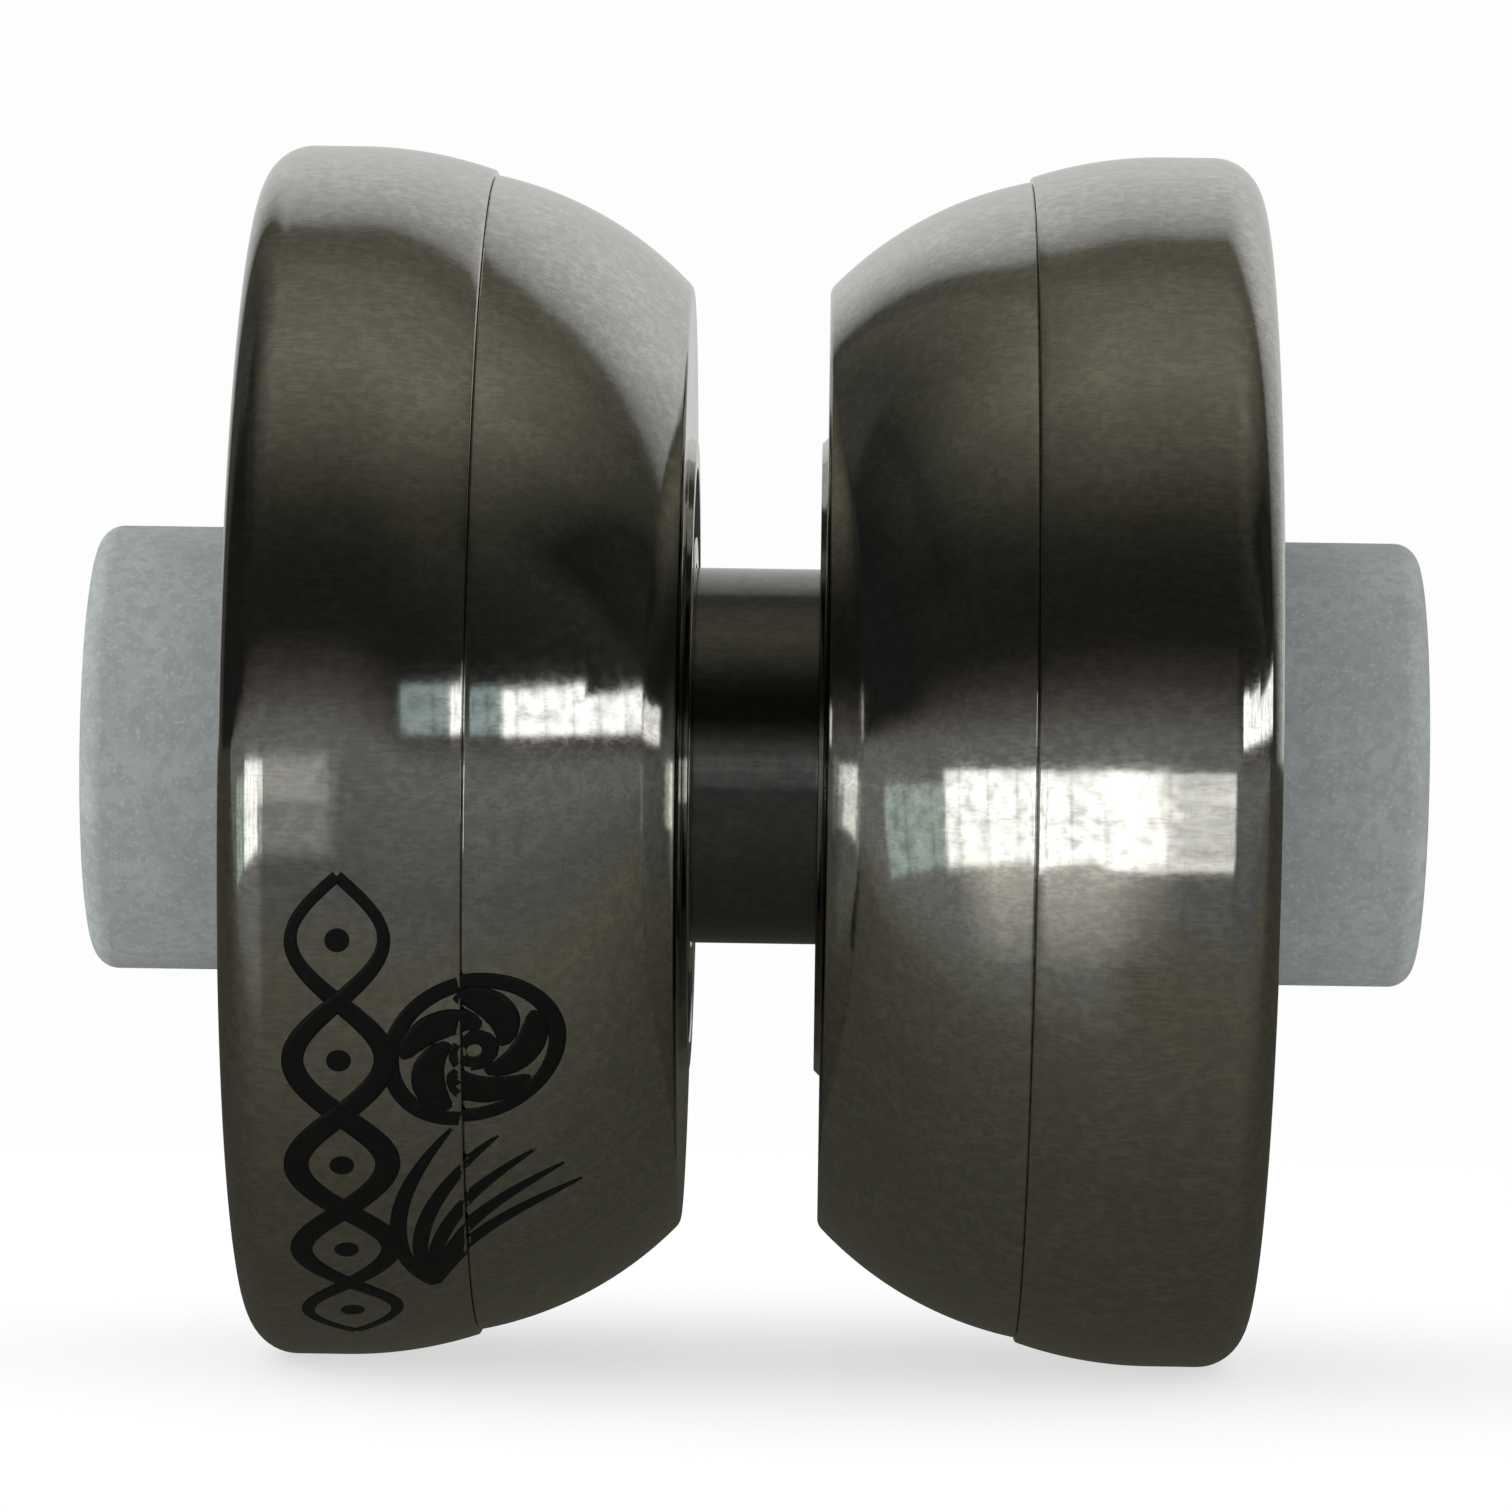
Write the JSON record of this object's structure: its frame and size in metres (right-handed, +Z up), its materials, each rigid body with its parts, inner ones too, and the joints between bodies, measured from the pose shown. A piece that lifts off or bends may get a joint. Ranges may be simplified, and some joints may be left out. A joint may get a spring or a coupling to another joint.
{
  "type": "yo-yo",
  "caption": "String-spun skill toy: two polished metal halves on one axle, a ball bearing in a narrow string gap, and frosted plastic side caps that spin on bearings.",
  "frame": {"origin": "middle of the axle, halfway across the string gap", "axes": "+X along the spin axis towards the right side cap, +Z up, so that the toy lies on its two rims"},
  "size_m": [0.0446, 0.0408, 0.0408],
  "materials": {
    "cup_metal": "polished, with fine turning marks",
    "rim_steel": "polished, with fine turning marks",
    "cap_plastic": "frosted, matte",
    "bearing_steel": "ground and polished",
    "cage_brass": "satin",
    "pad_silicone": "matte",
    "screw_steel": "black oxide"
  },
  "bodies": {
    "halves": {"right_cup": "cup_metal", "left_cup": "cup_metal", "right_rim_ring": "rim_steel", "left_rim_ring": "rim_steel", "right_response_pad": "pad_silicone", "left_response_pad": "pad_silicone", "axle_screw": "screw_steel", "string_bearing_inner_race": "bearing_steel", "right_cap_bearing_inner_race": "bearing_steel", "left_cap_bearing_inner_race": "bearing_steel"},
    "string_bearing_outer": {"string_bearing_outer_race": "bearing_steel", "string_bearing_shields": "bearing_steel", "string_bearing_snap_rings": "bearing_steel"},
    "string_bearing_ball_set": {"string_bearing_cage": "cage_brass", "string_bearing_balls": "bearing_steel"},
    "right_cap": {"right_side_cap": "cap_plastic", "right_cap_bearing_outer_race": "bearing_steel", "right_cap_bearing_shields": "bearing_steel"},
    "right_cap_ball_set": {"right_cap_bearing_cage": "cage_brass", "right_cap_bearing_balls": "bearing_steel"},
    "left_cap": {"left_side_cap": "cap_plastic", "left_cap_bearing_outer_race": "bearing_steel", "left_cap_bearing_shields": "bearing_steel"},
    "left_cap_ball_set": {"left_cap_bearing_cage": "cage_brass", "left_cap_bearing_balls": "bearing_steel"}
  },
  "joints": [
    {"name": "string_bearing_spin", "type": "hinge", "parent": "halves", "child": "string_bearing_outer", "pos_m": [0, 0, 0], "axis": [1, 0, 0], "continuous": true},
    {"name": "string_ball_set_spin", "type": "hinge", "parent": "halves", "child": "string_bearing_ball_set", "pos_m": [0, 0, 0], "axis": [1, 0, 0], "continuous": true},
    {"name": "right_cap_spin", "type": "hinge", "parent": "halves", "child": "right_cap", "pos_m": [0.0106, 0, 0], "axis": [1, 0, 0], "continuous": true},
    {"name": "right_ball_set_spin", "type": "hinge", "parent": "halves", "child": "right_cap_ball_set", "pos_m": [0.0106, 0, 0], "axis": [1, 0, 0], "continuous": true},
    {"name": "left_cap_spin", "type": "hinge", "parent": "halves", "child": "left_cap", "pos_m": [-0.0106, 0, 0], "axis": [1, 0, 0], "continuous": true},
    {"name": "left_ball_set_spin", "type": "hinge", "parent": "halves", "child": "left_cap_ball_set", "pos_m": [-0.0106, 0, 0], "axis": [1, 0, 0], "continuous": true}
  ],
  "couplings": [
    {"joint": "string_ball_set_spin", "follows": "string_bearing_spin", "ratio": 0.5834},
    {"joint": "right_ball_set_spin", "follows": "right_cap_spin", "ratio": 0.6059},
    {"joint": "left_ball_set_spin", "follows": "left_cap_spin", "ratio": 0.6059}
  ]
}
